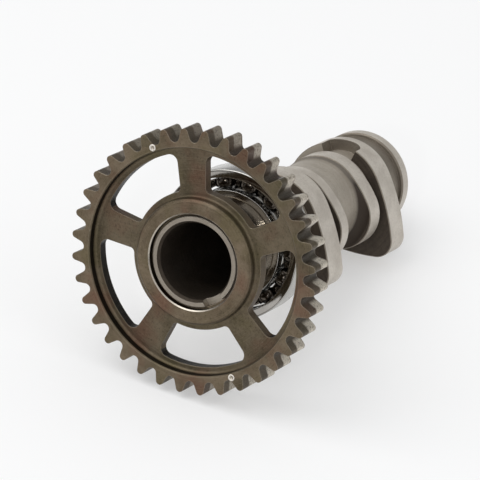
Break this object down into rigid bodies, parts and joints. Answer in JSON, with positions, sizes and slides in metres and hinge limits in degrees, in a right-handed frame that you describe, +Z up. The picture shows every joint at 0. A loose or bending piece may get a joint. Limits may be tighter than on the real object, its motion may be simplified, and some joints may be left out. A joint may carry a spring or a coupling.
{
  "type": "camshaft",
  "caption": "Hollow engine camshaft with a spoked silent-chain sprocket pressed on the front and an open ball bearing behind it; paired lobes, barrel and rear journal.",
  "frame": {"origin": "bottom centre of the object's box, on the bench it lies on", "axes": "+Z up; the shaft runs from the sprocket at -Y to the rear journal at +Y, sloping down by 12.6 degrees; the lobe noses point to +X and down"},
  "size_m": [0.0726, 0.1152, 0.0726],
  "materials": {
    "shaft_iron": "ground lobes and journal, darker as-cast sides",
    "sprocket_steel": "turned and heat-tinted brown",
    "ring_steel": "ground",
    "ball_steel": "polished",
    "cage_steel": "pressed strip"
  },
  "bodies": {
    "shaft": {"camshaft": "shaft_iron", "cam_sprocket": "sprocket_steel", "bearing_inner_ring": "ring_steel"},
    "outer_race": {"bearing_outer_ring": "ring_steel"},
    "ball_train": {"ball_01": "ball_steel", "ball_02": "ball_steel", "ball_03": "ball_steel", "ball_04": "ball_steel", "ball_05": "ball_steel", "ball_06": "ball_steel", "ball_07": "ball_steel", "ball_08": "ball_steel", "ball_09": "ball_steel", "ball_10": "ball_steel", "ball_11": "ball_steel", "ball_12": "ball_steel", "ball_13": "ball_steel", "ball_14": "ball_steel", "cage_front_half": "cage_steel", "cage_rear_half": "cage_steel", "cage_rivets": "cage_steel"}
  },
  "joints": [
    {"name": "outer_race_spin", "type": "hinge", "parent": "shaft", "child": "outer_race", "pos_m": [0, -0.02485, 0.03161], "axis": [0, 0.9761, -0.2173], "continuous": true},
    {"name": "ball_train_spin", "type": "hinge", "parent": "shaft", "child": "ball_train", "pos_m": [0, -0.02485, 0.03161], "axis": [0, 0.9761, -0.2173], "continuous": true}
  ],
  "couplings": [
    {"joint": "ball_train_spin", "follows": "outer_race_spin", "ratio": 0.57003}
  ]
}
